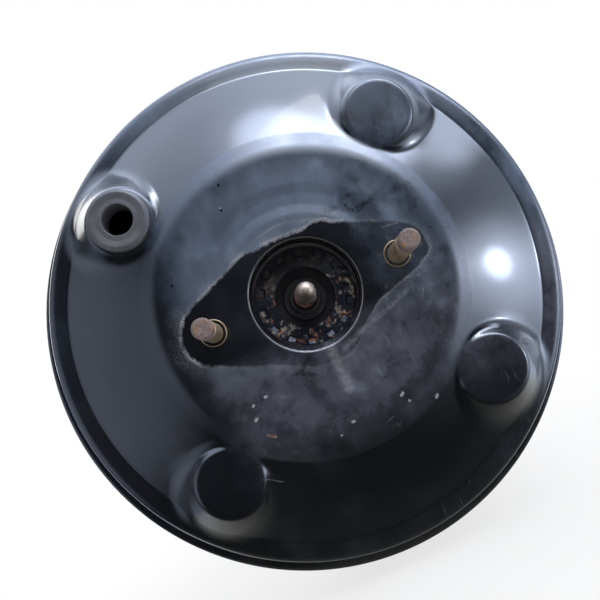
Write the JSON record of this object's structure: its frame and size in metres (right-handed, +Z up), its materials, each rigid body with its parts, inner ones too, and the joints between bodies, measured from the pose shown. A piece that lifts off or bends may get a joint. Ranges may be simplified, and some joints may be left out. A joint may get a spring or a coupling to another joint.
{
  "type": "vacuum brake booster",
  "caption": "Round single-diaphragm vacuum brake booster with pressed bosses, stud mounts front and rear, check-valve grommet, sprung power piston, input rod and clevis.",
  "frame": {"origin": "centre of the four bulkhead studs, on the rear shell's flat bulkhead face, on the booster's axis", "axes": "+Y rearward along the booster's axis to the pedal, -Y forward to the master cylinder, X along the line of the master-cylinder studs, +Z up"},
  "size_m": [0.253, 0.2505, 0.253],
  "materials": {
    "front_shell_paint": "gloss black, worn and dusty",
    "rear_shell_paint": "gloss black",
    "front_stud_zinc": "yellow zinc, rusty at the end",
    "rear_stud_zinc": "yellow zinc",
    "stud_plate_steel": "oiled steel",
    "seal_rubber": "moulded black rubber",
    "retainer_steel": "dark bluish spring steel",
    "grommet_rubber": "matte black rubber",
    "piston_steel": "zinc-plated steel",
    "diaphragm_rubber": "moulded black rubber",
    "valve_body_resin": "moulded dark resin",
    "output_rod_steel": "steel with brown rust",
    "adjuster_steel": "polished steel",
    "spring_wire": "drawn spring wire",
    "plunger_steel": "turned steel",
    "input_rod_zinc": "yellow zinc",
    "silencer_felt": "grey felt",
    "filter_foam": "dark open-cell foam",
    "cap_resin": "moulded black resin",
    "bush_resin": "natural resin",
    "boot_rubber": "moulded black rubber",
    "nut_zinc": "yellow zinc",
    "clevis_zinc": "yellow zinc"
  },
  "bodies": {
    "housing": {"front_shell": "front_shell_paint", "rear_shell": "rear_shell_paint", "master_cylinder_studs": "front_stud_zinc", "bulkhead_studs": "rear_stud_zinc", "front_stud_plate": "stud_plate_steel", "rear_stud_plate": "stud_plate_steel", "plate_seal": "seal_rubber", "seal_retainer": "retainer_steel", "vacuum_grommet": "grommet_rubber", "neck_ring": "piston_steel", "neck_seal": "seal_rubber", "neck_bush": "bush_resin", "diaphragm": "diaphragm_rubber", "return_spring": "spring_wire", "dust_boot": "boot_rubber"},
    "power_piston": {"diaphragm_plate": "piston_steel", "valve_body": "valve_body_resin", "reaction_disc": "seal_rubber", "output_rod": "output_rod_steel", "rod_adjuster": "adjuster_steel", "rod_cap": "piston_steel", "stop_key": "piston_steel", "poppet_valve": "seal_rubber", "poppet_washer": "piston_steel", "poppet_cup": "piston_steel", "poppet_spring": "spring_wire", "input_return_spring": "spring_wire", "air_silencer": "silencer_felt", "air_filter": "filter_foam", "filter_cap": "cap_resin"},
    "control_plunger": {"valve_plunger": "plunger_steel"},
    "push_rod": {"input_rod": "input_rod_zinc", "lock_nut": "nut_zinc", "clevis": "clevis_zinc"}
  },
  "joints": [
    {"name": "power_piston_stroke", "type": "slide", "parent": "housing", "child": "power_piston", "axis": [0, -1, 0], "range_m": [0, 0.034], "stiffness_N_per_m": 3000, "springref_m": -0.02, "deforming": ["return_spring", "diaphragm", "dust_boot"]},
    {"name": "control_stroke", "type": "slide", "parent": "power_piston", "child": "control_plunger", "axis": [0, -1, 0], "range_m": [0, 0.0016], "stiffness_N_per_m": 4000, "springref_m": -0.01, "deforming": ["input_return_spring"]},
    {"name": "input_rod_swing", "type": "hinge", "parent": "control_plunger", "child": "push_rod", "pos_m": [0, -0.011, 0], "axis": [1, 0, 0], "range_deg": [-2.5, 2.5]}
  ]
}
